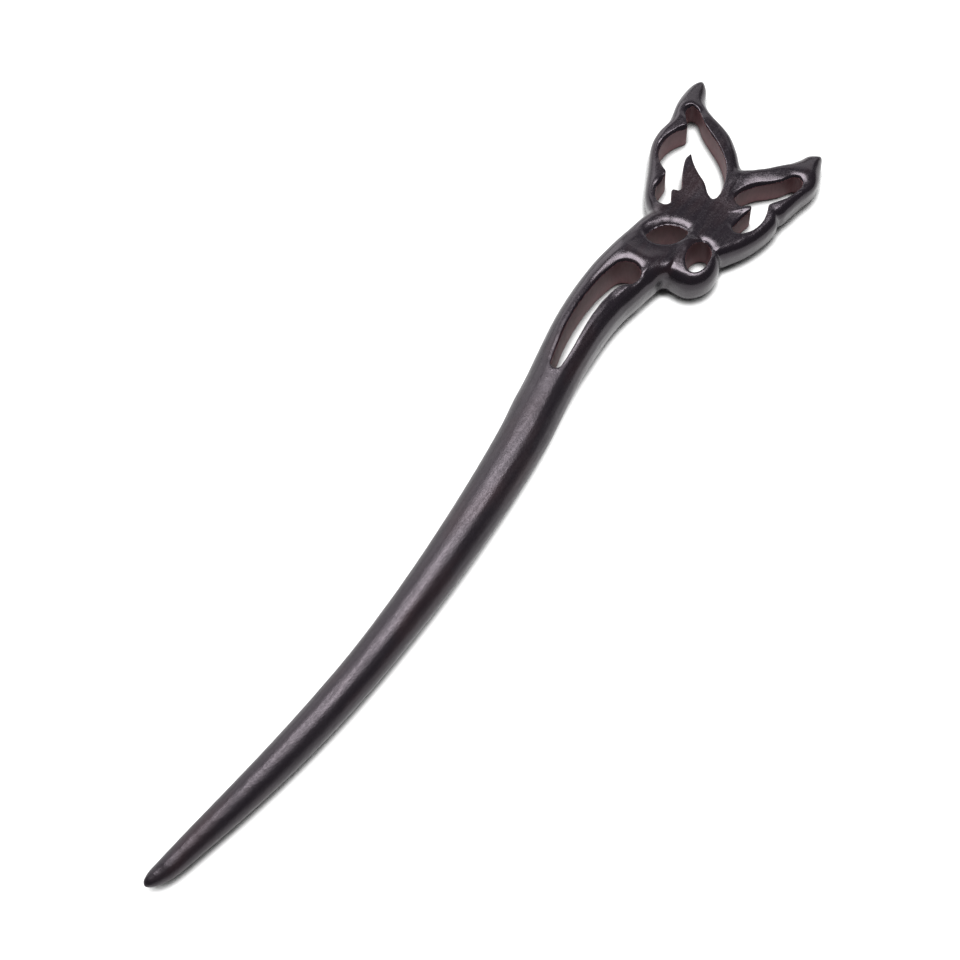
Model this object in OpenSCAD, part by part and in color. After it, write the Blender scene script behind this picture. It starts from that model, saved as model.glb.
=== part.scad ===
// Carved hair stick in one piece of dark wood: a bowed, tapering shaft whose head is pierced as a butterfly.
// It lies on its flat back. X runs from the tip to the wings, Y across the wings, Z up from the back.

/* [Overall] */
// Length over all, from the tip of the shaft to the end of the longer wing
stick_l = 182; // [155:1:220]
// Length of the head, from the start of the neck to the end of the longer wing
head_l = 80; // [66:0.5:96]
// Width across both wings
head_w = 31.25; // [26:0.25:38]

/* [Shaft] */
// Diameter of the shaft where it meets the neck
shaft_d = 8.9; // [7.4:0.1:10.7]
// How far the shaft bows aside from the line of the head
bow = 4.5; // [2:0.1:7]
// Length over which the tip is rounded off
tip_round = 3; // [2:0.1:4.5]

/* [Thickness] */
// Thickness of the neck, from which the head thins towards its wings
neck_t = 8.4; // [7:0.1:10]
// Thickness of the wings
wing_t = 6; // [5:0.1:7.2]
// Thickness at the ends of the wings
wing_tip_t = 2.8; // [2.3:0.1:3.6]
// Height by which the underside rises at the tip of the shaft and at the ends of the wings
tip_lift = 0.9; // [0.3:0.1:1.5]

/* [Neck] */
// Width of the neck halfway along its slot
neck_w = 10.5; // [9:0.1:12.6]
// Width of the slot's round end, its other widths follow it
slot_w = 5.4; // [4.5:0.1:6.5]

/* [Ring] */
// Diameter of the round lobe beside the neck
ring_d = 11.6; // [9.7:0.1:14]
// Length of the lobe's oval hole
ring_hole_l = 7.5; // [6.2:0.1:9]
// Width of the lobe's oval hole
ring_hole_w = 4.4; // [3.6:0.1:5.3]
// Wood left between the oval hole and the lobe's outer edge
ring_wall = 2.3; // [1.9:0.1:2.8]

/* [Lens] */
// Length of the leaf-shaped piercing in the butterfly's body
lens_l = 8.6; // [7.2:0.1:10.3]
// Width of the leaf-shaped piercing
lens_w = 4.8; // [4:0.1:5.8]

/* [Hidden] */
wood = "#2b2226";

shaft_l = stick_l - head_l;
// Height of the shaft as a share of its width
shaft_flat = 0.97;
// Share of the shaft's length over which its underside rises to the tip
lift_share = 0.1;
// Angles on the rounded tip at which its sections stand
TIP_ANGLES = [10, 24, 40, 56, 72];

// Steps of the round edge at each end of a cross-section
edge_steps = 10;
// Rings made between two rows of a table
shaft_steps = 3;
head_steps = 2;
// Points made between two points of a piercing's outline
outline_steps = 3;
// Wing blanks and lobe are this much thinner than the stem, so that no two faces fall in one plane.
lap = 0.04;
// How far a cutting shape passes the wood above and below
cut_over = 2;

// Shaft from its tip, one row for each section:
// [share of shaft length, sideways place as a share of the bow, width as a share of shaft_d]
SHAFT = [
    [0.00, 0.40, 0.28],
    [0.05, 0.13, 0.44],
    [0.10, -0.04, 0.51],
    [0.20, -0.39, 0.615],
    [0.30, -0.68, 0.69],
    [0.40, -0.88, 0.74],
    [0.50, -0.98, 0.77],
    [0.60, -0.98, 0.81],
    [0.70, -0.91, 0.865],
    [0.80, -0.76, 0.915],
    [0.90, -0.545, 0.96]
];

// Neck, after the shaft: [share of head length, middle as a share of head width, how far shaft has become neck]
NECK = [
    [0.000, -0.035, 0],
    [0.075, 0.012, 0],
    [0.133, 0.042, 0.03],
    [0.181, 0.067, 0.10],
    [0.231, 0.088, 0.28],
    [0.280, 0.105, 0.50],
    [0.328, 0.115, 0.72],
    [0.375, 0.118, 1]
];

// Butterfly's body, after the neck: [share of head length, middle, width], the last two as shares of head width
BODY = [
    [0.423, 0.110, 0.357],
    [0.466, 0.098, 0.366],
    [0.508, 0.079, 0.380],
    [0.550, 0.036, 0.432],
    [0.600, -0.008, 0.462],
    [0.650, -0.038, 0.465],
    [0.710, -0.048, 0.425],
    [0.770, -0.056, 0.270],
    [0.812, -0.050, 0.110],
    [0.832, -0.046, 0.040]
];

// Longer wing from root to end, each row a line across it: [along, across] of its outer edge and then of its
// trailing edge, along as a share of head length and across as a share of head width
LONG_WING = [
    [0.588, 0.192, 0.638, -0.064],
    [0.622, 0.222, 0.688, -0.080],
    [0.641, 0.266, 0.738, -0.080],
    [0.658, 0.300, 0.788, -0.072],
    [0.683, 0.335, 0.831, -0.054],
    [0.708, 0.370, 0.849, -0.029],
    [0.734, 0.411, 0.871, 0.020],
    [0.759, 0.449, 0.883, 0.054],
    [0.788, 0.480, 0.896, 0.095],
    [0.820, 0.489, 0.907, 0.137],
    [0.853, 0.480, 0.917, 0.194],
    [0.879, 0.494, 0.925, 0.252],
    [0.911, 0.520, 0.935, 0.315],
    [0.941, 0.533, 0.950, 0.372],
    [0.968, 0.531, 0.970, 0.415],
    [0.989, 0.520, 0.990, 0.452],
    [1.000, 0.500, 1.000, 0.479]
];

// Shorter wing from root to end, the upper edge first and then the lower, as in the table above
SHORT_WING = [
    [0.588, 0.000, 0.588, -0.240],
    [0.619, 0.000, 0.613, -0.298],
    [0.650, 0.000, 0.638, -0.336],
    [0.675, 0.000, 0.661, -0.368],
    [0.700, 0.000, 0.686, -0.394],
    [0.731, -0.010, 0.713, -0.414],
    [0.763, -0.016, 0.738, -0.426],
    [0.794, -0.026, 0.766, -0.429],
    [0.819, -0.032, 0.779, -0.412],
    [0.846, -0.035, 0.793, -0.428],
    [0.853, -0.074, 0.813, -0.437],
    [0.864, -0.112, 0.835, -0.446],
    [0.876, -0.147, 0.854, -0.454],
    [0.890, -0.182, 0.873, -0.461],
    [0.905, -0.216, 0.893, -0.463],
    [0.921, -0.245, 0.913, -0.457],
    [0.940, -0.268, 0.932, -0.445],
    [0.956, -0.288, 0.949, -0.427],
    [0.971, -0.306, 0.965, -0.407],
    [0.980, -0.336, 0.979, -0.389],
    [0.990, -0.360, 0.990, -0.378]
];

// Slot in the neck, from its thin end to its round end: [along, across, width as a share of slot_w]
SLOT = [
    [0.160, 0.055, 0.35],
    [0.183, 0.067, 0.445],
    [0.216, 0.084, 0.52],
    [0.250, 0.103, 0.58],
    [0.300, 0.123, 0.62],
    [0.350, 0.131, 0.655],
    [0.392, 0.127, 0.71],
    [0.420, 0.110, 0.80],
    [0.444, 0.080, 1.00]
];

// Piercing of the longer wing, stroke by stroke with a sharp corner between strokes: [along, across]
LONG_WING_STROKES = [
    // small lobe beside the root
    [[0.701, 0.152], [0.693, 0.187], [0.675, 0.164], [0.660, 0.143], [0.648, 0.168], [0.650, 0.216],
     [0.664, 0.256], [0.686, 0.281], [0.706, 0.284], [0.729, 0.290]],
    // large lobe along the outer edge
    [[0.729, 0.290], [0.740, 0.346], [0.758, 0.393], [0.784, 0.422], [0.813, 0.424], [0.840, 0.402], [0.862, 0.368]],
    // finger towards the wing's end, back down the trailing edge and up the side of the flame
    [[0.862, 0.368], [0.885, 0.420], [0.907, 0.446], [0.921, 0.428], [0.917, 0.378], [0.897, 0.317],
     [0.880, 0.240], [0.865, 0.166], [0.842, 0.082], [0.811, 0.010], [0.776, -0.032], [0.745, -0.052],
     [0.728, -0.035], [0.735, 0.012], [0.754, 0.066], [0.767, 0.131], [0.785, 0.196], [0.802, 0.240]],
    // other side of the flame
    [[0.802, 0.240], [0.783, 0.246], [0.758, 0.221], [0.734, 0.188], [0.714, 0.152]],
    // inner corner under the flame
    [[0.714, 0.152], [0.707, 0.148], [0.701, 0.152]]
];

// Piercing of the shorter wing, in the same way
SHORT_WING_STROKES = [
    // upper edge, round the end and back along the lower edge
    [[0.762, -0.232], [0.750, -0.190], [0.758, -0.142], [0.778, -0.127], [0.800, -0.148], [0.824, -0.186],
     [0.845, -0.240], [0.868, -0.290], [0.892, -0.322], [0.898, -0.360], [0.884, -0.402], [0.858, -0.402],
     [0.828, -0.378], [0.803, -0.339], [0.790, -0.322]],
    // lower lobe beside the root
    [[0.790, -0.322], [0.768, -0.345], [0.741, -0.356], [0.712, -0.340], [0.691, -0.305], [0.683, -0.262],
     [0.696, -0.232], [0.728, -0.235], [0.763, -0.252]],
    // blunt end of the leaf
    [[0.763, -0.252], [0.765, -0.241], [0.762, -0.232]]
];

// Leaf-shaped piercing in its own axes: [share of its length, share of its width] from its middle, its point last
LENS_STROKES = [
    [[0.50, -0.02], [0.38, 0.24], [0.20, 0.44], [-0.02, 0.50], [-0.24, 0.44], [-0.42, 0.28], [-0.50, 0.02],
     [-0.40, -0.22], [-0.22, -0.40], [0.02, -0.50], [0.26, -0.42], [0.42, -0.24], [0.50, -0.02]]
];
LENS_PLACE = [0.5865, 0.0325];
LENS_TURN = -38;

RING_HOLE_PLACE = [0.578, -0.192];
RING_HOLE_TURN = 10;
// The lobe lies this far back towards the shaft from its hole, as a share of its diameter.
RING_BACK = 0.095;

// Places in the head: shares of its length and width to millimetres
function head_x(along) = shaft_l + along * head_l;
function head_xy(p) = [head_x(p[0]), p[1] * head_w];

function mix(a, b, t) = a + (b - a) * t;
function step_to(a, b, x) = min(1, max(0, (x - a) / (b - a)));
function ease(a, b, x) = let (t = step_to(a, b, x)) t * t * (3 - 2 * t);

// Top and underside of the head at a share of its length
function top_at(along) =
    mix(mix(neck_t, wing_t, ease(0.44, 0.74, along)), wing_tip_t + tip_lift, pow(step_to(0.86, 1, along), 2));
function under_at(along) = tip_lift * pow(step_to(0.90, 1, along), 2);

// Smooth curve through the rows of a table, with a number of steps between two rows
function row_at(rows, i) =
    let (last = len(rows) - 1)
    i < 0 ? 2 * rows[0] - rows[1] : i > last ? 2 * rows[last] - rows[last - 1] : rows[i];
function between(a, b, c, d, t) =
    0.5 * (2 * b + (c - a) * t + (2 * a - 5 * b + 4 * c - d) * t * t + (3 * b - a - 3 * c + d) * t * t * t);
function smooth(rows, steps) =
    [for (i = [0 : len(rows) - 2]) for (k = [0 : steps - 1])
        between(row_at(rows, i - 1), rows[i], rows[i + 1], row_at(rows, i + 2), k / steps)];
function smooth_all(rows, steps) = concat(smooth(rows, steps), [rows[len(rows) - 1]]);

// Cross-section between two points of the plan, with its upper and lower edges rounded at both ends:
// right and left are [x, y, underside, top].
function round_end(edge, inward, reach, from, to) =
    let (middle = (edge[2] + edge[3]) / 2, half = (edge[3] - edge[2]) / 2)
    [for (k = [0 : edge_steps])
        let (a = mix(from, to, k / edge_steps), in = reach * (1 - cos(a)))
        [edge[0] + inward[0] * in, edge[1] + inward[1] * in, middle + half * sin(a)]];
function section(left, right) =
    let (across = [left[0] - right[0], left[1] - right[1]],
         width = norm(across),
         inward = across / width,
         left_reach = min((left[3] - left[2]) / 2, 0.48 * width),
         right_reach = min((right[3] - right[2]) / 2, 0.48 * width))
    concat(round_end(right, inward, right_reach, -90, 90), round_end(left, -inward, left_reach, 90, -90));

// Solid through a row of cross-sections
module skin(sections) {
    n = len(sections[0]);
    last = len(sections) - 1;
    points = [for (s = sections) each s];
    sides = [for (i = [0 : last - 1]) for (j = [0 : n - 1])
        let (a = i * n + j, b = i * n + (j + 1) % n, c = a + n, d = b + n)
        each [[a, b, d], [a, d, c]]];
    start_cap = [for (j = [n - 1 : -1 : 0]) j];
    end_cap = [for (j = [0 : n - 1]) last * n + j];
    polyhedron(points, concat([start_cap, end_cap], sides), convexity = 6);
}

// Rows of the stem, shaft, neck and body in turn: [x, y, width, how far the shaft has become the flat head]
function shaft_row(r) = [r[0] * shaft_l, r[1] * bow, r[2] * shaft_d, 0];
function neck_row(r) = [head_x(r[0]), r[1] * head_w, mix(shaft_d, neck_w, r[2]), r[2]];
function body_row(r) = [head_x(r[0]), r[1] * head_w, r[2] * head_w, 1];
shaft_rows = [for (r = SHAFT) shaft_row(r)];
// The shaft's first row moves back to where its rounded tip ends.
tip_end = mix(shaft_rows[0], shaft_rows[1], tip_round / shaft_rows[1][0]);
stem_table = concat(
    [tip_end],
    [for (i = [1 : len(shaft_rows) - 1]) shaft_rows[i]],
    [for (r = NECK) neck_row(r)],
    [for (r = BODY) body_row(r)]);
function tip_row(a) =
    let (row = mix(shaft_rows[0], tip_end, 1 - cos(a)))
    [row[0], row[1], row[2] * sin(a), 0];
stem = concat([for (a = TIP_ANGLES) tip_row(a)], smooth_all(stem_table, shaft_steps));

// Height and underside of the stem at one of its rows
function stem_t(r) = mix(r[2] * shaft_flat, top_at((r[0] - shaft_l) / head_l), step_to(0, 1, r[3]));
function stem_under(r) = tip_lift * pow(1 - step_to(0, lift_share * shaft_l, r[0]), 2)
    + (r[0] < tip_round ? (tip_end[2] - r[2]) * shaft_flat / 2 : 0);

// A row and the next one give the stem's direction, square to which the section stands.
function stem_section(i) =
    let (here = stem[i],
         before = stem[max(0, i - 1)],
         after = stem[min(len(stem) - 1, i + 1)],
         run = [after[0] - before[0], after[1] - before[1]],
         aside = [-run[1], run[0]] / norm(run) * here[2] / 2,
         under = stem_under(here),
         top = under + stem_t(here))
    section([here[0] + aside[0], here[1] + aside[1], under, top],
            [here[0] - aside[0], here[1] - aside[1], under, top]);

function wing_section(r) =
    let (left = head_xy([r[0], r[1]]), right = head_xy([r[2], r[3]]))
    section([left[0], left[1], under_at(r[0]) + lap, top_at(r[0]) - lap],
            [right[0], right[1], under_at(r[2]) + lap, top_at(r[2]) - lap]);

module stem_blank() {
    skin([for (i = [0 : len(stem) - 1]) stem_section(i)]);
}

module wing_blank(rows) {
    skin([for (r = smooth_all(rows, head_steps)) wing_section(r)]);
}

// Round lobe beside the neck, placed from its hole so that the wall between them keeps its width
module ring_blank() {
    hole = head_xy(RING_HOLE_PLACE);
    centre = [hole[0] - RING_BACK * ring_d, hole[1] - ring_hole_w / 2 - ring_wall + ring_d / 2];
    half = top_at((centre[0] - shaft_l) / head_l) / 2 - lap;
    reach = min(half, 0.48 * ring_d);
    rim = [for (a = [-90 : 15 : 90]) [ring_d / 2 - reach * (1 - cos(a)), half * sin(a)]];
    translate([centre[0], centre[1], half + lap])
        rotate_extrude($fn = 48)
            polygon(concat([[0, -half]], rim, [[0, half]]));
}

module cut(points) {
    translate([0, 0, -cut_over])
        linear_extrude(neck_t + 2 * cut_over)
            polygon(points);
}

// Strokes joined to one outline; each stroke is smooth and the next starts at its last point.
module cut_strokes(strokes) {
    cut([for (s = strokes) each smooth([for (p = s) head_xy(p)], outline_steps)]);
}

module slot_cut() {
    stations = smooth_all([for (r = SLOT) [head_x(r[0]), r[1] * head_w, r[2] * slot_w]], 2);
    translate([0, 0, -cut_over])
        linear_extrude(neck_t + 2 * cut_over)
            for (i = [0 : len(stations) - 2])
                hull()
                    for (s = [stations[i], stations[i + 1]])
                        translate([s[0], s[1]])
                            circle(d = s[2], $fn = 32);
}

module lens_cut() {
    translate(head_xy(LENS_PLACE))
        rotate(LENS_TURN)
            cut([for (s = LENS_STROKES) each smooth([for (p = s) [p[0] * lens_l, p[1] * lens_w]], outline_steps)]);
}

module ring_hole_cut() {
    translate(head_xy(RING_HOLE_PLACE))
        rotate(RING_HOLE_TURN)
            cut([for (a = [0 : 9 : 351]) [cos(a) * ring_hole_l / 2, sin(a) * ring_hole_w / 2]]);
}

// The box around the object is centred on the origin, standing on its back.
box_top_y = max([for (r = smooth_all(LONG_WING, head_steps)) r[1]]) * head_w;
box_low_y = min([for (r = smooth_all(SHORT_WING, head_steps)) r[3]]) * head_w;

module hair_stick() {
    color(wood)
        translate([-stick_l / 2, -(box_top_y + box_low_y) / 2, 0])
        difference() {
            union() {
                stem_blank();
                wing_blank(LONG_WING);
                wing_blank(SHORT_WING);
                ring_blank();
            }
            slot_cut();
            lens_cut();
            ring_hole_cut();
            cut_strokes(LONG_WING_STROKES);
            cut_strokes(SHORT_WING_STROKES);
        }
}

hair_stick();
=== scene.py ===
"""Looks of a carved hair stick: one piece of very dark wood, polished by hand, lying on a white table.

The stick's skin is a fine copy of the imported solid. Its piercings get the worn, sloping rims that a carver's
knife and sandpaper leave, and their walls stay duller and browner than the polished outside.
X runs along the stick from the shaft's tip to the wings, Y across it, and Z up. Shapes are worked out in
millimetres. Properties, materials, lights and the camera are in Blender's metres, with MM for a millimetre.
"""

import math
from typing import NamedTuple

import bmesh
import bpy
import numpy as np
from bpy.props import FloatProperty, FloatVectorProperty, IntProperty, PointerProperty
from mathutils import Matrix, Vector
from mathutils.kdtree import KDTree


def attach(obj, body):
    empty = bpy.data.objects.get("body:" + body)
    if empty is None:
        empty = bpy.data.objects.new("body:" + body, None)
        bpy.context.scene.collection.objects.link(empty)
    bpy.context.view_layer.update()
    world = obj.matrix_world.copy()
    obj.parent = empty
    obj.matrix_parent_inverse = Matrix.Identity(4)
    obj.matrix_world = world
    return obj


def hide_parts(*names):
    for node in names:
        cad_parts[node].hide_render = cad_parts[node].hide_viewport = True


bl_info = {
    "name": "Carved hair stick",
    "version": (1, 0, 0),
    "blender": (4, 5, 0),
    "location": "3D View > Sidebar > Hair stick",
    "description": "Finishes a carved wooden hair stick and sets its studio",
    "category": "Object",
}

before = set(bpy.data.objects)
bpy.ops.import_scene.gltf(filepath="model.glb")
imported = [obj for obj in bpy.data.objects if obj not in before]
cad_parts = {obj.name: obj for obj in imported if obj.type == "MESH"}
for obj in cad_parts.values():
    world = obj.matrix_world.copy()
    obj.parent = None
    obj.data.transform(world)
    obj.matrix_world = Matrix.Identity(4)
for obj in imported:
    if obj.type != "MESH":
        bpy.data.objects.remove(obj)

NODE = "hair_stick"
MM = 0.001


def linear(hex_colour):
    """An sRGB hex colour as linear red, green and blue."""
    parts = [int(hex_colour[i : i + 2], 16) / 255 for i in (1, 3, 5)]
    return tuple(c / 12.92 if c <= 0.04045 else ((c + 0.055) / 1.055) ** 2.4 for c in parts)


# What the carver does to the stick


class Piercing(NamedTuple):
    """A hole through the head, and how its rim is worked."""

    middle: tuple  # place in plan
    facing: tuple  # plan direction of the side that is worked most
    inset: float  # how far that side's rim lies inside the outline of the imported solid
    bevel: float  # width of the rounded bevel on that side
    drop: float  # how deep the wood beyond the bevel dishes down to it
    slope: float  # angle of the dish next to the bevel, in degrees
    even: int  # rounds that even out the outline
    taper: float = 1  # width of the hole's lower end, as a share of its upper end
    lean: tuple = (0, 0)  # how far the lower end is shifted


# Plan direction that points away from the camera, in which the photograph looks over the stick
ACROSS = (0.812, 0.584)

PIERCINGS = {
    "slot": Piercing(middle=(36, 1.7), facing=(0.87, 0.5), inset=0.45, bevel=0.4, drop=0.3, slope=16, even=8),
    "lens": Piercing(
        middle=(57.9, 0.2), facing=(0.85, 0.53), inset=0.3, bevel=0.22, drop=0.5, slope=24, even=60,
        taper=0.86, lean=(-0.2, -0.1),
    ),
    "ring hole": Piercing(
        middle=(57.3, -7.3), facing=(0.98, 0.2), inset=0.3, bevel=0.22, drop=0.33, slope=21, even=20,
        taper=0.92, lean=(-0.05, -0.3),
    ),
    "longer wing": Piercing(
        middle=(73.3, 6), facing=ACROSS, inset=0.45, bevel=0.45, drop=0, slope=10, even=4,
        lean=(0.2, -0.3),
    ),
    "shorter wing": Piercing(
        middle=(74.5, -10.4), facing=ACROSS, inset=0.45, bevel=0.4, drop=0.2, slope=8, even=8,
        lean=(0.1, -0.1),
    ),
}
# Places where the carver's knife went deeper along a rim: place, extra bevel width and reach
DEEP_CUTS = (((80.2, 11), 0.7, 2.2), ((76, -6.4), 0.3, 5))
# Places that lean: place, reach, angle in degrees, how far beyond the place the lean starts, and the plan
# direction in which the wood rises
LEANING_PLACES = (
    ((50.3, -3.6), 4.5, 11, 0.8, ACROSS),
    ((57.5, 2), 7.5, 4, 3.5, (1, 0)),
    ((83.6, -12.8), 3.8, 10, 1.2, ACROSS),
    ((84.6, 12), 3.6, 13, 1, ACROSS),
)
# Places of the outline that are pushed sideways: place, push and reach
PUSHES = (
    ((90.5, 12.6), (0.15, -0.2), 3.5),
    ((78, -3), (-0.15, -0.45), 3.5),
    ((81, -5), (-0.25, -0.2), 5),
    ((83.5, -14.6), (0.05, -0.4), 4.5),
    ((90, -12.5), (-0.2, -0.12), 3),
    ((80, 5.5), (-0.25, 0.03), 4),
    ((82.5, 10.5), (0.15, -0.2), 2.5),
    ((64.5, 11), (-0.2, 0.3), 7),
    ((49.8, -6.3), (0.4, 0.4), 3.2),
    ((90.2, -12.6), (-0.22, 0.02), 1.6),
)
# Wing tips: place, heading in plan, how far back the widening starts and how much wider the end gets
WING_TIPS = (((91, 14.1), (0.99, 0.11), 4, 1.1), ((90.2, -12.7), (0.98, -0.19), 4, 1.12))
# The notch between the wings, which the sandpaper rounds most
NOTCH = (77.6, -2.5)
# Between these places along the stick, the hand-worn shaft turns into the less worn head
WORN_UNTIL, KEPT_FROM = 10, 45
# One round of smoothing pulls each point this share of the way to its neighbours' middle, then pushes it back
PULL, PUSH_BACK = 0.5, -0.52


class CarvingSizes(bpy.types.PropertyGroup):
    """Sizes of the carved surface."""

    blank_step: FloatProperty(
        name="Blank step", description="Face size of the blank before it is pierced",
        default=0.3 * MM, min=0.2 * MM, max=0.6 * MM, precision=5, unit="LENGTH",
    )
    skin_step: FloatProperty(
        name="Skin step", description="Face size of the pierced piece while its rims are worked",
        default=0.15 * MM, min=0.12 * MM, max=0.4 * MM, precision=5, unit="LENGTH",
    )
    sanding: IntProperty(
        name="Sanding", description="Rounds of smoothing of the blank", default=60, min=0, max=200,
    )
    squaring: FloatProperty(
        name="Squaring", description="How far the head's rounded edges are pushed out",
        default=0.4 * MM, min=0, max=MM, precision=5, unit="LENGTH",
    )
    bevel_depth: FloatProperty(
        name="Bevel depth", description="Depth of the rounded bevel along a rim, as a share of its width",
        default=0.8, min=0, max=1.2, subtype="FACTOR",
    )
    triangles: IntProperty(
        name="Triangles", description="Triangles of the finished piece",
        default=196000, min=20000, max=199000,
    )


# Points and outlines


def read_points(mesh):
    """The mesh's points as rows of x, y and z."""
    flat = np.empty(len(mesh.vertices) * 3)
    mesh.vertices.foreach_get("co", flat)
    return flat.reshape(-1, 3)


def write_points(mesh, points):
    """Moves the mesh's points to new places."""
    mesh.vertices.foreach_set("co", points.ravel())
    mesh.update()


def read_edges(mesh):
    """The two ends of each edge, as numbers of points."""
    flat = np.empty(len(mesh.edges) * 2, dtype=np.int64)
    mesh.edges.foreach_get("vertices", flat)
    return flat.reshape(-1, 2)


def ease(low, high, x):
    """0 below low, 1 above high, with a smooth step between."""
    t = np.clip((x - low) / (high - low), 0, 1)
    return t * t * (3 - 2 * t)


def closeness(points, place, full, reach):
    """1 where a point lies nearer to the place in plan than full, and 0 past reach."""
    return 1 - ease(full, reach, np.hypot(*(points[:, :2] - place).T))


def relax(points, edges, weight, rounds, pulls=(PULL, PUSH_BACK)):
    """Smooths the points; with both pulls they don't shrink."""
    a, b = edges[:, 0], edges[:, 1]
    count = np.bincount(a, minlength=len(points)) + np.bincount(b, minlength=len(points))
    count = np.maximum(count, 1)
    for _ in range(rounds):
        for pull in pulls:
            total = np.zeros_like(points)
            for axis in range(3):
                total[:, axis] = np.bincount(a, points[b, axis], len(points))
                total[:, axis] += np.bincount(b, points[a, axis], len(points))
            points = points + (pull * weight)[:, None] * (total / count[:, None] - points)
    return points


def spread(row, rounds):
    """A row of numbers along a closed loop, evened out between neighbours."""
    for _ in range(rounds):
        row = (np.roll(row, 1, axis=0) + 2 * row + np.roll(row, -1, axis=0)) / 4
    return row


def even_outline(loop, step):
    """Points of a closed loop in even steps, going round the hole with the wood on the right."""
    corners = np.array([(p.x, p.y, p.z) for p in loop])
    after = np.roll(corners, -1, axis=0)
    turn = (corners[:, 0] * after[:, 1] - after[:, 0] * corners[:, 1]).sum()
    if turn < 0:
        corners = corners[::-1]
    closed = np.vstack([corners, corners[:1]])
    along = np.concatenate([[0], np.cumsum(np.hypot(*np.diff(closed[:, :2], axis=0).T))])
    count = round(along[-1] / step)
    places = np.arange(count) * along[-1] / count
    return np.column_stack([np.interp(places, along, closed[:, axis]) for axis in range(3)])


def plan_tree(points):
    """A search tree over the points' places in plan."""
    tree = KDTree(len(points))
    for k, point in enumerate(points):
        tree.insert((point[0], point[1], 0), k)
    tree.balance()
    return tree


def with_modifiers(mesh, *steps):
    """The mesh after modifiers, each given as its kind and settings; the mesh that went in is removed."""
    holder = bpy.data.objects.new(mesh.name, mesh)
    bpy.context.scene.collection.objects.link(holder)
    for kind, settings in steps:
        modifier = holder.modifiers.new(kind.title(), kind)
        for key, value in settings.items():
            setattr(modifier, key, value)
    graph = bpy.context.evaluated_depsgraph_get()
    result = bpy.data.meshes.new_from_object(holder.evaluated_get(graph))
    bpy.data.objects.remove(holder)
    bpy.data.meshes.remove(mesh)
    return result


# The blank: the stick before it is pierced


def merged_copy():
    """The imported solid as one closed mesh, in millimetres."""
    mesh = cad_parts[NODE].data.copy()
    mesh.transform(Matrix.Scale(1 / MM, 4))
    solid = bmesh.new()
    solid.from_mesh(mesh)
    bpy.data.meshes.remove(mesh)
    same_point = 0.0005
    bmesh.ops.remove_doubles(solid, verts=solid.verts, dist=same_point)
    solid.verts.index_update()
    solid.edges.index_update()
    solid.faces.index_update()
    return solid


def bend_neck(solid):
    """Moves the neck a little to the camera's side, as in the photograph."""
    sideways = -0.3
    start, full, end, past = 12, 19, 50, 60
    for v in solid.verts:
        x = v.co.x
        v.co.y += sideways * float(ease(start, full, x) * (1 - ease(end, past, x)))


def connected(faces):
    """The faces sorted into groups that touch along edges."""
    left = {f.index: f for f in faces}
    groups = []
    while left:
        front = [left.pop(min(left))]
        group = []
        while front:
            face = front.pop()
            group.append(face)
            for edge in face.edges:
                for other in edge.link_faces:
                    if left.pop(other.index, None):
                        front.append(other)
        groups.append(group)
    return groups


def closed_loops(edges):
    """The edges' closed loops, each as its points in order."""
    links = {}
    for edge in edges:
        a, b = edge.verts
        links.setdefault(a.index, []).append(b)
        links.setdefault(b.index, []).append(a)
    points = {v.index: v for e in edges for v in e.verts}
    left = set(links)
    loops = []
    while left:
        here = points[min(left)]
        loop = []
        while here is not None:
            loop.append(here)
            left.discard(here.index)
            here = next((v for v in links[here.index] if v.index in left), None)
        loops.append(loop)
    return loops


def open_piercings(solid):
    """Takes the upright walls of the piercings out of the solid, and gives their upper and lower rims."""
    upright = 0.02
    head_start, head_end = 20, 88
    near_middle = 4
    walls = [
        f for f in solid.faces
        if abs(f.normal.z) < upright and head_start < f.calc_center_median().x < head_end
    ]
    rims = {}
    taken, rim_edges = [], []
    for group in connected(walls):
        inside = {f.index for f in group}
        edges = [e for f in group for e in f.edges if sum(g.index in inside for g in e.link_faces) == 1]
        loops = closed_loops(edges)
        if len(loops) != 2:
            continue
        loops.sort(key=lambda loop: sum(v.co.z for v in loop) / len(loop))
        lower, upper = ([v.co.copy() for v in loop] for loop in loops)
        xs = [p.x for p in upper]
        ys = [p.y for p in upper]
        middle = Vector(((min(xs) + max(xs)) / 2, (min(ys) + max(ys)) / 2))
        name = min(PIERCINGS, key=lambda key: (Vector(PIERCINGS[key].middle) - middle).length)
        if (Vector(PIERCINGS[name].middle) - middle).length > near_middle:
            continue
        rims[name] = (upper, lower)
        taken += group
        rim_edges += edges
    if len(rims) != len(PIERCINGS):
        raise RuntimeError(f"found only the piercings {sorted(rims)}")
    bmesh.ops.delete(solid, geom=taken, context="FACES")
    return rims, rim_edges


def square_up(mesh, points, squaring):
    """Pushes rounded edges out along their normals, so that the head is flatter on top with tighter edges."""
    normals = np.empty(len(points) * 3)
    mesh.vertices.foreach_get("normal", normals)
    normals = normals.reshape(-1, 3)
    neck_start, neck_full = 20, 32
    tips_start, tips_full = 82, 87
    tilt = np.arcsin(np.clip(normals[:, 2], -1, 1))
    on_head = ease(neck_start, neck_full, points[:, 0]) * (1 - ease(tips_start, tips_full, points[:, 0]))
    share = np.sin(2 * tilt) ** 2 * on_head
    return points + (squaring * share)[:, None] * normals


def widen_tip(points, tip, heading, reach, factor):
    """Widens a wing's tip across its heading, to a blunt end."""
    heading = np.array(heading) / np.hypot(*heading)
    across = np.array((-heading[1], heading[0]))
    offset = points[:, :2] - tip
    along, side = offset @ heading, offset @ across
    share = ease(-reach, 0, along) * (np.abs(side) < reach) * (along < reach)
    points[:, :2] += (share * (factor - 1) * side)[:, None] * across


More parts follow.
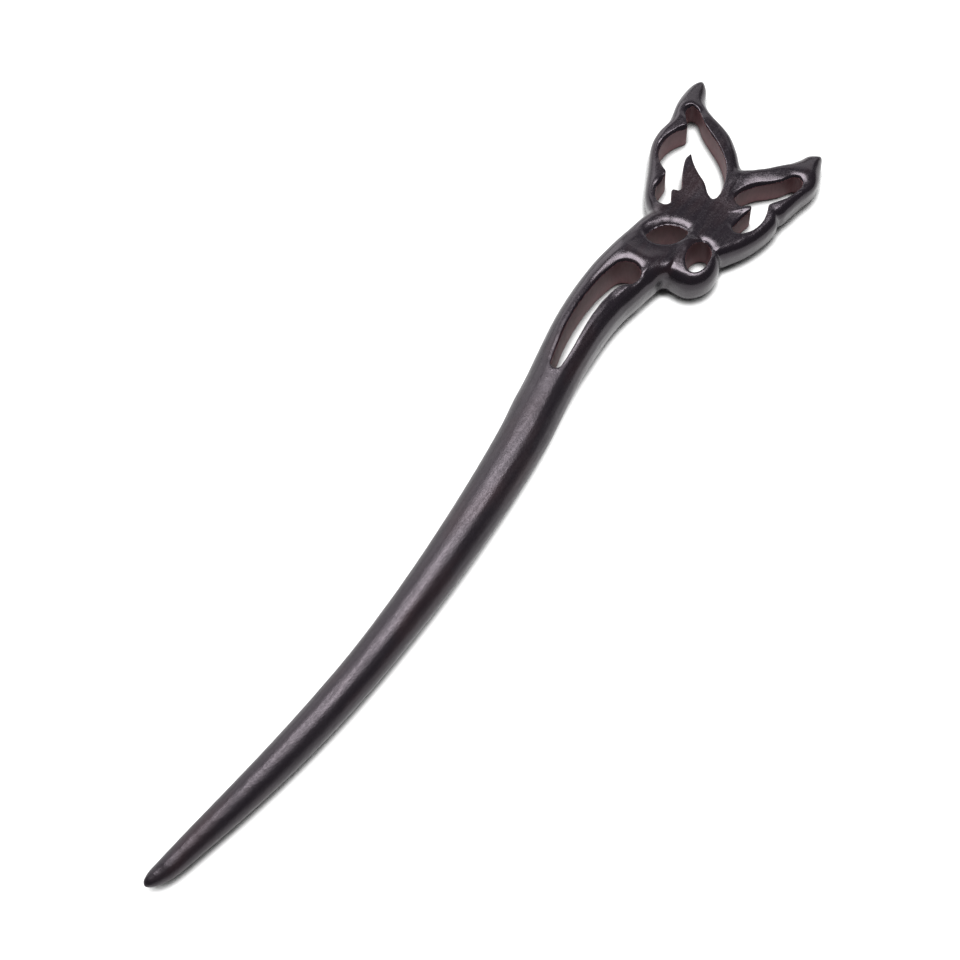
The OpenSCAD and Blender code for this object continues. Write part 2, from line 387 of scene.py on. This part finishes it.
def sanded_blank(sizes):
    """The blank with its outline worked and sanded, and the rims that its piercings had."""
    solid = merged_copy()
    bend_neck(solid)
    found, rim_edges = open_piercings(solid)
    bmesh.ops.edgeloop_fill(solid, edges=rim_edges)
    bmesh.ops.triangulate(solid, faces=[f for f in solid.faces if len(f.verts) > 4])
    if not all(e.is_manifold for e in solid.edges):
        raise RuntimeError("the unpierced blank isn't closed")
    mesh = bpy.data.meshes.new("blank")
    solid.to_mesh(mesh)
    solid.free()
    mesh = with_modifiers(mesh, ("REMESH", {"mode": "VOXEL", "voxel_size": sizes.blank_step / MM}))

    points = read_points(mesh)
    edges = read_edges(mesh)
    everywhere = np.ones(len(points))
    points = relax(points, edges, everywhere, sizes.sanding)
    write_points(mesh, points)
    points = square_up(mesh, points, sizes.squaring / MM)
    for tip in WING_TIPS:
        widen_tip(points, *tip)
    for place, push, reach in PUSHES:
        points[:, :2] += closeness(points, place, 0, reach)[:, None] * np.array(push)
    last_sanding = 8
    points = relax(points, edges, everywhere, last_sanding)
    notch_full, notch_reach, notch_sanding = 1, 3.5, 25
    by_notch = closeness(points, NOTCH, notch_full, notch_reach)
    points = relax(points, edges, by_notch, notch_sanding, pulls=(PULL,))
    write_points(mesh, points)
    return mesh, found


# The piercings and their rims


def pointedness(ahead, step):
    """How sharply a rim turns round wood that points into the hole, 0 to 1, from its headings."""
    corner_size = 0.7
    blunt, sharp = 0.4, 1.1
    evening = 30
    steps = round(corner_size / step)
    before, after = np.roll(ahead, steps, axis=0), np.roll(ahead, -steps, axis=0)
    bend = np.arctan2(
        before[:, 0] * after[:, 1] - before[:, 1] * after[:, 0], (before * after).sum(axis=1)
    )
    return spread(ease(blunt, sharp, -bend), evening)


def worked_rim(piercing, upper, lower):
    """A rim as even points: x, y, upper and lower height, the dish's drop and steepness, and the bevel."""
    step = 0.1
    heading_gap = 2
    top = spread(even_outline(upper, step), piercing.even)
    under = even_outline(lower, step)
    below = plan_tree(under)
    bottom = np.array([under[below.find((p[0], p[1], 0))[1], 2] for p in top])
    ahead = np.roll(top, -heading_gap, axis=0) - np.roll(top, heading_gap, axis=0)
    ahead = ahead[:, :2] / np.linalg.norm(ahead[:, :2], axis=1)[:, None]
    outward = np.column_stack([ahead[:, 1], -ahead[:, 0]])

    # The side that faces the right way is worked fully, and the opposite side not at all. Where the rim turns
    # round a point of the wood, it isn't dished and its bevel is narrower.
    facing = np.array(piercing.facing)
    none_below, full_above = -0.1, 0.6
    worked = ease(none_below, full_above, outward @ facing)
    side_evening, dish_evening, bevel_evening = 12, 40, 8
    side = spread(worked, side_evening)
    full_point = 0.5
    plain = 1 - np.clip(pointedness(ahead, step) / full_point, 0, 1)
    drop = piercing.drop * spread(worked * plain, dish_evening)
    steepness = np.full(len(top), math.tan(math.radians(piercing.slope)))

    at_point = 0.4
    narrowest_at_point, narrowest = 0.08, 0.15
    bevel = np.maximum(
        piercing.bevel * side * (at_point + (1 - at_point) * plain),
        narrowest_at_point + (narrowest - narrowest_at_point) * plain,
    )
    for place, extra, reach in DEEP_CUTS:
        bevel += extra * worked * closeness(top, place, 0, reach)
    top[:, :2] -= (piercing.inset * side)[:, None] * facing
    return np.column_stack([top, bottom, drop, steepness, spread(bevel, bevel_evening)])


class Rims:
    """The rims of all piercings, as worked_rim gives them."""

    def __init__(self, found):
        rows = {name: worked_rim(PIERCINGS[name], *loops) for name, loops in found.items()}
        self.outlines = {name: row[:, :2] for name, row in rows.items()}
        self.rows = np.vstack(list(rows.values()))
        self.tree = plan_tree(self.rows)

    def near(self, points):
        """For each point, its plan distance to the nearest rim and that rim's row."""
        far_off = 99.0
        head_start = 18
        distance = np.full(len(points), far_off)
        nearest = np.zeros(len(points), dtype=np.int64)
        for k in np.flatnonzero(points[:, 0] > head_start):
            _, nearest[k], distance[k] = self.tree.find((points[k, 0], points[k, 1], 0))
        return distance, self.rows[nearest]


def piercing_tools(outlines):
    """Upright prisms as wide as the piercings and longer than they are deep."""
    bm = bmesh.new()
    below, height = -2, 14
    for name, outline in outlines.items():
        floor = bm.faces.new([bm.verts.new((x, y, below)) for x, y in outline])
        raised = bmesh.ops.extrude_face_region(bm, geom=[floor])
        upper = [v for v in raised["geom"] if isinstance(v, bmesh.types.BMVert)]
        bmesh.ops.translate(bm, vec=(0, 0, height), verts=upper)
        middle = Vector((*outline.mean(axis=0), below))
        narrow = PIERCINGS[name].taper
        centred = Matrix.Translation(-middle)
        bmesh.ops.scale(bm, vec=(narrow, narrow, 1), verts=floor.verts, space=centred)
        bmesh.ops.translate(bm, vec=(*PIERCINGS[name].lean, 0), verts=floor.verts)
    bmesh.ops.recalc_face_normals(bm, faces=bm.faces)
    mesh = bpy.data.meshes.new("piercing tools")
    bm.to_mesh(mesh)
    bm.free()
    return mesh


def pierce(mesh, outlines, step):
    """Cuts the piercings through the blank, and gives the skin even faces."""
    tools = bpy.data.objects.new("piercing tools", piercing_tools(outlines))
    bpy.context.scene.collection.objects.link(tools)
    mesh = with_modifiers(
        mesh,
        ("BOOLEAN", {"operation": "DIFFERENCE", "object": tools, "solver": "MANIFOLD"}),
        ("REMESH", {"mode": "VOXEL", "voxel_size": step}),
    )
    tool_mesh = tools.data
    bpy.data.objects.remove(tools)
    bpy.data.meshes.remove(tool_mesh)
    return mesh


def leaning(points, place, reach, angle, start, heading):
    """How far the wood lies lower where it leans, with a soft start to the lean."""
    settling = 1.5
    full = 0.35 * reach
    before = np.maximum(start - (points[:, :2] - place) @ np.array(heading), 0)
    before = np.where(before < settling, before ** 2 / (2 * settling), before - settling / 2)
    return math.tan(math.radians(angle)) * before * closeness(points, place, full, reach)


def work_rims(mesh, rims, bevel_depth):
    """Dishes the wood down to the rims, rounds the rims, and leans the places that the carver worked."""
    points = read_points(mesh)
    edges = read_edges(mesh)
    distance, row = rims.near(points)
    top, bottom, drop, steepness, bevel = row[:, 2:].T
    height = np.clip((points[:, 2] - bottom) / (top - bottom), 0, 1)

    narrowest_dish = 0.1
    dish_width = np.maximum(2 * drop / steepness, narrowest_dish)
    lowered = drop * np.clip(1 - np.maximum(distance - bevel, 0) / dish_width, 0, 1) ** 2
    for place in LEANING_PLACES:
        lowered += leaning(points, *place)
    roundness = 1.3
    lowered += bevel_depth * bevel * np.clip(1 - distance / bevel, 0, 1) ** roundness
    # The work on the upper rims fades out downwards, and that on the lower rims upwards.
    fade = 3
    under_drop, under_width = 0.15, 0.3
    points[:, 2] -= lowered * height ** fade
    points[:, 2] += under_drop * np.maximum(1 - distance / under_width, 0) * (1 - height) ** fade

    rim_reach, elsewhere, sanding = 2, 0.3, 6
    weight = np.where(distance < rim_reach, 1.0, elsewhere)
    write_points(mesh, relax(points, edges, weight, sanding))


def count_triangles(mesh):
    """How many triangles the mesh's faces make."""
    return sum(len(p.vertices) - 2 for p in mesh.polygons)


def carve_skin(sizes):
    """The finished skin in millimetres, and the rims of its piercings."""
    mesh, found = sanded_blank(sizes)
    rims = Rims(found)
    mesh = pierce(mesh, rims.outlines, sizes.skin_step / MM)
    work_rims(mesh, rims, sizes.bevel_depth)
    thinned = with_modifiers(mesh, ("DECIMATE", {"ratio": sizes.triangles / count_triangles(mesh)}))
    return thinned, rims


def mark_cut_walls(mesh, rims):
    """Gives the walls of the piercings the second material."""
    count = len(mesh.polygons)
    centres, normals = np.empty(count * 3), np.empty(count * 3)
    mesh.polygons.foreach_get("center", centres)
    mesh.polygons.foreach_get("normal", normals)
    distance, _ = rims.near(centres.reshape(-1, 3))
    steep, beside = 0.5, 1.0
    is_wall = (distance < beside) & (np.abs(normals.reshape(-1, 3)[:, 2]) < steep)
    mesh.polygons.foreach_set("material_index", is_wall.astype(np.int32))


# Materials


class WoodColours(bpy.types.PropertyGroup):
    """Colours of the wood."""

    heartwood: FloatVectorProperty(
        name="Heartwood", description="Polished wood between its grain lines", subtype="COLOR",
        default=linear("#1d181e"), min=0, max=1,
    )
    grain: FloatVectorProperty(
        name="Grain", description="Darker lines along the grain", subtype="COLOR",
        default=linear("#110e13"), min=0, max=1,
    )
    warm_streak: FloatVectorProperty(
        name="Warm streaks", description="Browner patches of the wood", subtype="COLOR",
        default=linear("#2e1c1d"), min=0, max=1,
    )
    cut_wood: FloatVectorProperty(
        name="Cut wood", description="Duller walls of the piercings", subtype="COLOR",
        default=linear("#7b595c"), min=0, max=1,
    )


def add_node(tree, kind, inputs=None, **settings):
    """A node with its settings, and its inputs given as values or as other nodes' outputs."""
    node = tree.nodes.new(kind)
    for key, value in settings.items():
        setattr(node, key, value)
    for key, value in (inputs or {}).items():
        if isinstance(value, bpy.types.NodeSocket):
            tree.links.new(value, node.inputs[key])
        else:
            node.inputs[key].default_value = value
    return node


def start_material(name):
    """A material and its empty node tree."""
    material = bpy.data.materials.new(name)
    material.use_nodes = True
    material.node_tree.nodes.clear()
    return material, material.node_tree


def polished_blackwood(colours):
    """Dense blackwood, carved and hand polished with wax.

    It is nearly black with a purple-brown cast, and shows soft highlights broken by its fine open pores.
    """
    material, tree = start_material("polished blackwood")
    place = add_node(tree, "ShaderNodeTexCoord").outputs["Object"]

    # Grain lines along the stick; the fibres in them are far finer and wouldn't show
    line_width, line_length = 0.3 * MM, 6 * MM
    along = add_node(tree, "ShaderNodeMapping", {"Vector": place, "Scale": (line_width / line_length, 1, 1)})
    lines = add_node(tree, "ShaderNodeTexNoise", {
        "Vector": along.outputs["Vector"], "Scale": 1 / (2 * line_width), "Detail": 4,
    })
    grain = add_node(tree, "ShaderNodeMix", {
        "Factor": lines.outputs["Fac"], "A": (*colours.grain, 1), "B": (*colours.heartwood, 1),
    }, data_type="RGBA")

    # Warm patches, stretched along the stick
    patch_width, patch_length = 4 * MM, 14.8 * MM
    stretched = add_node(tree, "ShaderNodeMapping", {
        "Vector": place, "Scale": (patch_width / patch_length, 1, 1),
    })
    patches = add_node(tree, "ShaderNodeTexNoise", {
        "Vector": stretched.outputs["Vector"], "Scale": 1 / patch_width, "Detail": 2,
    })
    warm = add_node(tree, "ShaderNodeMapRange", {
        "Value": patches.outputs["Fac"], "From Min": 0.5, "From Max": 0.75, "To Max": 0.5,
    })
    colour = add_node(tree, "ShaderNodeMix", {
        "Factor": warm.outputs["Result"], "A": grain.outputs["Result"], "B": (*colours.warm_streak, 1),
    }, data_type="RGBA")

    # Open pores, drawn about three times as far apart as real ones, which wouldn't show
    pore_gap, pore_depth = 0.35 * MM, 0.05 * MM
    pores = add_node(tree, "ShaderNodeTexNoise", {"Vector": place, "Scale": 1 / pore_gap, "Detail": 2})

    # The shaft, which hands have worn, is duller than the head, and its pores are more open.
    split = add_node(tree, "ShaderNodeSeparateXYZ", {"Vector": place})
    worn_to_kept = {"roughest": (0.48, 0.3), "smoothest": (0.31, 0.19), "openness": (0.5, 0.26)}
    wear = {
        name: add_node(tree, "ShaderNodeMapRange", {
            "Value": split.outputs["X"], "From Min": WORN_UNTIL * MM, "From Max": KEPT_FROM * MM,
            "To Min": worn, "To Max": kept,
        }).outputs["Result"]
        for name, (worn, kept) in worn_to_kept.items()
    }
    open_grain = add_node(tree, "ShaderNodeMix", {
        "Factor": 0.5, "A": pores.outputs["Fac"], "B": lines.outputs["Fac"],
    }, data_type="FLOAT")
    roughness = add_node(tree, "ShaderNodeMapRange", {
        "Value": open_grain.outputs["Result"], "From Min": 0.38, "From Max": 0.62,
        "To Min": wear["roughest"], "To Max": wear["smoothest"],
    })
    pitted = add_node(tree, "ShaderNodeBump", {
        "Height": pores.outputs["Fac"], "Strength": wear["openness"], "Distance": pore_depth,
    })

    # Marks of the knife: shallow hollows under the polish
    hollow_width, hollow_depth = 2.5 * MM, 0.06 * MM
    hollows = add_node(tree, "ShaderNodeTexNoise", {"Vector": place, "Scale": 1 / hollow_width, "Detail": 1})
    worked = add_node(tree, "ShaderNodeBump", {
        "Height": hollows.outputs["Fac"], "Strength": 1, "Distance": hollow_depth,
        "Normal": pitted.outputs["Normal"],
    })

    # The highlights have a slight purple cast.
    shader = add_node(tree, "ShaderNodeBsdfPrincipled", {
        "Base Color": colour.outputs["Result"], "Roughness": roughness.outputs["Result"],
        "Normal": worked.outputs["Normal"], "IOR": 1.5, "Specular Tint": (*linear("#f9ecf7"), 1),
    })
    add_node(tree, "ShaderNodeOutputMaterial", {"Surface": shader.outputs["BSDF"]})
    return material


def sawn_blackwood(colours):
    """The same wood where a saw cut the piercings: unpolished, browner, dull, and striped by the blade."""
    material, tree = start_material("sawn blackwood")
    place = add_node(tree, "ShaderNodeTexCoord").outputs["Object"]

    # Saw marks: uneven upright lines
    mark_gap, mark_length, mark_depth = 0.5 * MM, 2 * MM, 0.05 * MM
    upright = add_node(tree, "ShaderNodeMapping", {"Vector": place, "Scale": (1, 1, mark_gap / mark_length)})
    saw = add_node(tree, "ShaderNodeTexNoise", {
        "Vector": upright.outputs["Vector"], "Scale": 1 / mark_gap, "Detail": 4,
    })
    stripe = add_node(tree, "ShaderNodeMapRange", {"Value": saw.outputs["Fac"], "To Min": 0.6, "To Max": 1})
    colour = add_node(tree, "ShaderNodeMix", {
        "Factor": stripe.outputs["Result"], "A": (*colours.heartwood, 1), "B": (*colours.cut_wood, 1),
    }, data_type="RGBA")
    bump = add_node(tree, "ShaderNodeBump", {
        "Height": saw.outputs["Fac"], "Strength": 0.3, "Distance": mark_depth,
    })
    shader = add_node(tree, "ShaderNodeBsdfPrincipled", {
        "Base Color": colour.outputs["Result"], "Roughness": 0.6, "Normal": bump.outputs["Normal"],
        "IOR": 1.5, "Specular IOR Level": 0.25,
    })
    add_node(tree, "ShaderNodeOutputMaterial", {"Surface": shader.outputs["BSDF"]})
    return material


def glowing_white_card(glow):
    """Matt white card that glows by itself on top of the studio's lights, so that it is plain white up to the
    stick: the glow is painted light.
    """
    material, tree = start_material("glowing white card")
    # The glow fades in the narrow gap under the stick, where no light gets in: this paints the contact shadow
    # there.
    gap_reach = 1.8 * MM
    gap = add_node(tree, "ShaderNodeAmbientOcclusion", {"Distance": gap_reach}, samples=6)
    strength = add_node(tree, "ShaderNodeMapRange", {
        "Value": gap.outputs["AO"], "From Min": 0.5, "From Max": 0.85, "To Max": glow,
    })
    shader = add_node(tree, "ShaderNodeBsdfPrincipled", {
        "Base Color": (*linear("#7c7c7c"), 1), "Roughness": 0.8,
        "Emission Color": (1, 1, 1, 1), "Emission Strength": strength.outputs["Result"],
    })
    add_node(tree, "ShaderNodeOutputMaterial", {"Surface": shader.outputs["BSDF"]})
    return material


class HAIRSTICK_OT_carve(bpy.types.Operator):
    """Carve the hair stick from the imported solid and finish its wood"""

    bl_idname = "hairstick.carve"
    bl_label = "Carve the stick"

    def execute(self, context):
        scene = context.scene
        mesh, rims = carve_skin(scene.carving_sizes)
        mesh.materials.clear()
        mesh.materials.append(polished_blackwood(scene.wood_colours))
        mesh.materials.append(sawn_blackwood(scene.wood_colours))
        mark_cut_walls(mesh, rims)
        mesh.transform(Matrix.Scale(MM, 4))
        mesh.shade_smooth()
        piece = bpy.data.objects.new("carved_hair_stick", mesh)
        scene.collection.objects.link(piece)
        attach(piece, "root")
        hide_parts(NODE)
        return {"FINISHED"}


# Studio


class SoftLight(NamedTuple):
    """A rectangular light that is aimed at the stick."""

    power: float  # watts
    width: float  # metres
    depth: float  # metres
    away: float  # metres from the stick
    turn: float  # degrees from straight beyond the stick
    height: float  # degrees above the table
    roll: float = 0  # degrees about its own axis


# The lamp gives the highlights, the wall the sheen of the flat wood, and the window that of the left flanks.
LIGHTS = {
    "lamp": SoftLight(power=13.5, width=0.8, depth=0.36, away=1.0, turn=4, height=73, roll=-26),
    "wall": SoftLight(power=4.0, width=1.8, depth=0.6, away=1.3, turn=0, height=24),
    "window": SoftLight(power=3.7, width=1.0, depth=0.7, away=1.2, turn=34, height=22),
}


class StudioSettings(bpy.types.PropertyGroup):
    """Light and camera."""

    azimuth: FloatProperty(
        name="Azimuth", description="Camera's turn", default=math.radians(-54.3), subtype="ANGLE",
    )
    elevation: FloatProperty(
        name="Elevation", description="Camera's height angle", default=math.radians(63), subtype="ANGLE",
    )
    distance: FloatProperty(
        name="Distance", description="Camera to the point it looks at", default=0.4803, unit="LENGTH",
    )
    lens: FloatProperty(name="Lens", description="Focal length", default=105, unit="CAMERA")
    look_at: FloatVectorProperty(
        name="Look at", description="Point at the picture's middle", unit="LENGTH",
        default=(-1.1 * MM, -1.25 * MM, 5.16 * MM),
    )
    brightness: FloatProperty(
        name="Brightness", description="Factor on the power of all lights", default=1, min=0,
    )
    room: FloatProperty(name="Room", description="Light of the dark room", default=0.13, min=0)
    table_glow: FloatProperty(
        name="Table glow", description="Light that the table gives by itself", default=1.1, min=0,
    )


def direction_to(azimuth, elevation):
    """Direction from the stick towards a camera or light."""
    flat = math.cos(elevation)
    return Vector((math.sin(azimuth) * flat, -math.cos(azimuth) * flat, math.sin(elevation)))


def place_looking(holder, place, target):
    """Puts a camera or light at a place and aims it at the target."""
    holder.location = place
    holder.rotation_euler = (place - target).to_track_quat("Z", "Y").to_euler()


def add_table(scene, glow):
    """The table under the stick, wider than the picture."""
    half_width = 1.5
    bm = bmesh.new()
    bmesh.ops.create_grid(bm, x_segments=1, y_segments=1, size=half_width)
    mesh = bpy.data.meshes.new("table")
    bm.to_mesh(mesh)
    bm.free()
    mesh.materials.append(glowing_white_card(glow))
    table = bpy.data.objects.new("table", mesh)
    scene.collection.objects.link(table)


def add_light(scene, name, light, beyond, brightness):
    """One of the lights, at its turn from the direction straight beyond the stick."""
    lamp = bpy.data.lights.new(name, "AREA")
    lamp.energy = light.power * brightness
    lamp.shape = "RECTANGLE"
    lamp.size = light.width
    lamp.size_y = light.depth
    holder = bpy.data.objects.new(name, lamp)
    scene.collection.objects.link(holder)
    direction = direction_to(beyond + math.radians(light.turn), math.radians(light.height))
    place_looking(holder, direction * light.away, Vector())
    holder.rotation_euler.rotate_axis("Z", math.radians(light.roll))


def add_room(scene, strength):
    """The dark room around the table."""
    world = bpy.data.worlds.new("dark room")
    world.use_nodes = True
    background = world.node_tree.nodes["Background"]
    background.inputs["Color"].default_value = (1, 1, 1, 1)
    background.inputs["Strength"].default_value = strength
    scene.world = world


def add_camera(scene, studio):
    """The camera at the photograph's angle."""
    camera = bpy.data.cameras.new("camera")
    camera.lens = studio.lens
    camera.clip_start = 0.01
    viewer = bpy.data.objects.new("camera", camera)
    scene.collection.objects.link(viewer)
    target = Vector(studio.look_at)
    direction = direction_to(studio.azimuth, studio.elevation)
    place_looking(viewer, target + direction * studio.distance, target)
    scene.camera = viewer


class HAIRSTICK_OT_studio(bpy.types.Operator):
    """Set the table, the lights, the room and the camera"""

    bl_idname = "hairstick.studio"
    bl_label = "Set the studio"

    def execute(self, context):
        scene = context.scene
        studio = scene.studio_settings
        add_table(scene, studio.table_glow)
        add_room(scene, studio.room)
        for name, light in LIGHTS.items():
            add_light(scene, name, light, studio.azimuth + math.pi, studio.brightness)
        add_camera(scene, studio)
        scene.view_settings.view_transform = "Standard"
        return {"FINISHED"}


class HAIRSTICK_PT_panel(bpy.types.Panel):
    """Lists the steps that make the hair stick"""

    bl_idname = "HAIRSTICK_PT_panel"
    bl_label = "Hair stick"
    bl_space_type = "VIEW_3D"
    bl_region_type = "UI"
    bl_category = "Hair stick"

    def draw(self, context):
        for step in (HAIRSTICK_OT_carve, HAIRSTICK_OT_studio):
            self.layout.operator(step.bl_idname)


CLASSES = (
    CarvingSizes, WoodColours, StudioSettings, HAIRSTICK_OT_carve, HAIRSTICK_OT_studio, HAIRSTICK_PT_panel,
)


def register():
    for kind in CLASSES:
        bpy.utils.register_class(kind)
    bpy.types.Scene.carving_sizes = PointerProperty(type=CarvingSizes)
    bpy.types.Scene.wood_colours = PointerProperty(type=WoodColours)
    bpy.types.Scene.studio_settings = PointerProperty(type=StudioSettings)


def unregister():
    del bpy.types.Scene.studio_settings
    del bpy.types.Scene.wood_colours
    del bpy.types.Scene.carving_sizes
    for kind in reversed(CLASSES):
        bpy.utils.unregister_class(kind)


def main():
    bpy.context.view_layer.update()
    register()
    bpy.ops.hairstick.carve()
    bpy.ops.hairstick.studio()


if __name__ == "__main__":
    main()
